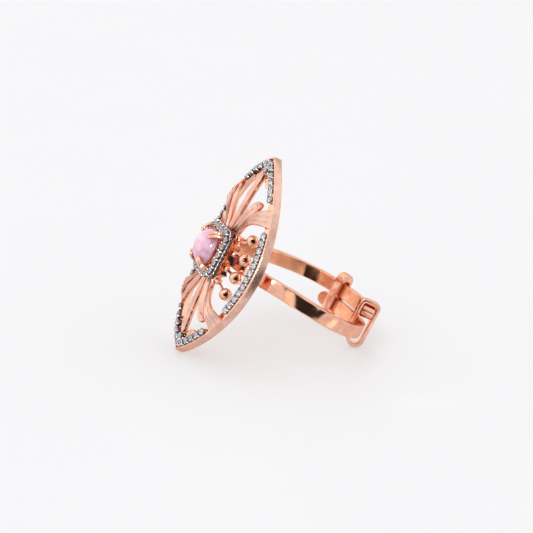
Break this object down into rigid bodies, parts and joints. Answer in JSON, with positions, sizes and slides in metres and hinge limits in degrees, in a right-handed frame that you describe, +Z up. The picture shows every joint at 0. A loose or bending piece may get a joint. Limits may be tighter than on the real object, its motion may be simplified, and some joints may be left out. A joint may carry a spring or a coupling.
{
  "type": "adjustable cocktail ring",
  "caption": "Openwork pointed-oval cocktail ring with a pink cabochon in a stone frame, fanned petals, balls on stems, and a band whose two tails slide through each other's loops.",
  "frame": {"origin": "middle of the underside of the ring's box, on the table that it lies on", "axes": "+Z up from the table, +X from the head towards the back of the band, +Y away from the side that is called near"},
  "size_m": [0.0246, 0.0198, 0.0235],
  "materials": {
    "satin_rose_gold": "rose gold plate with a fine satin grain",
    "polished_rose_gold": "rose gold plate, polished",
    "white_plate": "rhodium plate round the set stones",
    "clear_stone": "clear faceted stones",
    "pink_stone": "milky pink domed stone, polished"
  },
  "bodies": {
    "head": {"cabochon": "pink_stone", "claw_basket": "polished_rose_gold", "far_lower_inner_ball": "polished_rose_gold", "far_lower_outer_ball": "polished_rose_gold", "far_stone_run": "white_plate", "far_upper_inner_ball": "polished_rose_gold", "far_upper_outer_ball": "polished_rose_gold", "gallery": "polished_rose_gold", "halo_setting": "white_plate", "halo_stone_01": "clear_stone", "halo_stone_02": "clear_stone", "halo_stone_03": "clear_stone", "halo_stone_04": "clear_stone", "halo_stone_05": "clear_stone", "halo_stone_06": "clear_stone", "halo_stone_07": "clear_stone", "halo_stone_08": "clear_stone", "halo_stone_09": "clear_stone", "halo_stone_10": "clear_stone", "halo_stone_11": "clear_stone", "halo_stone_12": "clear_stone", "halo_stone_13": "clear_stone", "halo_stone_14": "clear_stone", "halo_stone_15": "clear_stone", "halo_stone_16": "clear_stone", "halo_stone_17": "clear_stone", "halo_stone_18": "clear_stone", "halo_stone_19": "clear_stone", "halo_stone_20": "clear_stone", "lower_far_broad_petal": "satin_rose_gold", "lower_far_short_petal": "satin_rose_gold", "lower_long_petal": "satin_rose_gold", "lower_near_broad_petal": "satin_rose_gold", "lower_near_short_petal": "satin_rose_gold", "lower_stone_run": "white_plate", "near_lower_inner_ball": "polished_rose_gold", "near_lower_outer_ball": "polished_rose_gold", "near_stone_run": "white_plate", "near_upper_inner_ball": "polished_rose_gold", "near_upper_outer_ball": "polished_rose_gold", "rim_frame": "satin_rose_gold", "shank_bow": "polished_rose_gold", "upper_far_broad_petal": "satin_rose_gold", "upper_far_short_petal": "satin_rose_gold", "upper_long_petal": "satin_rose_gold", "upper_near_broad_petal": "satin_rose_gold", "upper_near_short_petal": "satin_rose_gold", "upper_stone_run": "white_plate"},
    "near_tail": {"near_tail": "polished_rose_gold", "near_tail_loop": "polished_rose_gold"},
    "far_tail": {"far_tail": "polished_rose_gold", "far_tail_loop": "polished_rose_gold"}
  },
  "joints": [
    {"name": "near_tail_flex", "type": "hinge", "parent": "head", "child": "near_tail", "pos_m": [0.00268, -0.00919, 0.00841], "axis": [-0.4405, -0.1018, -0.8919], "range_deg": [-4, 7]},
    {"name": "far_tail_flex", "type": "hinge", "parent": "head", "child": "far_tail", "pos_m": [0.00185, 0.00922, 0.00672], "axis": [0.4405, 0.1018, 0.8919], "range_deg": [-4, 7]}
  ],
  "couplings": [
    {"joint": "far_tail_flex", "follows": "near_tail_flex", "ratio": 1}
  ]
}
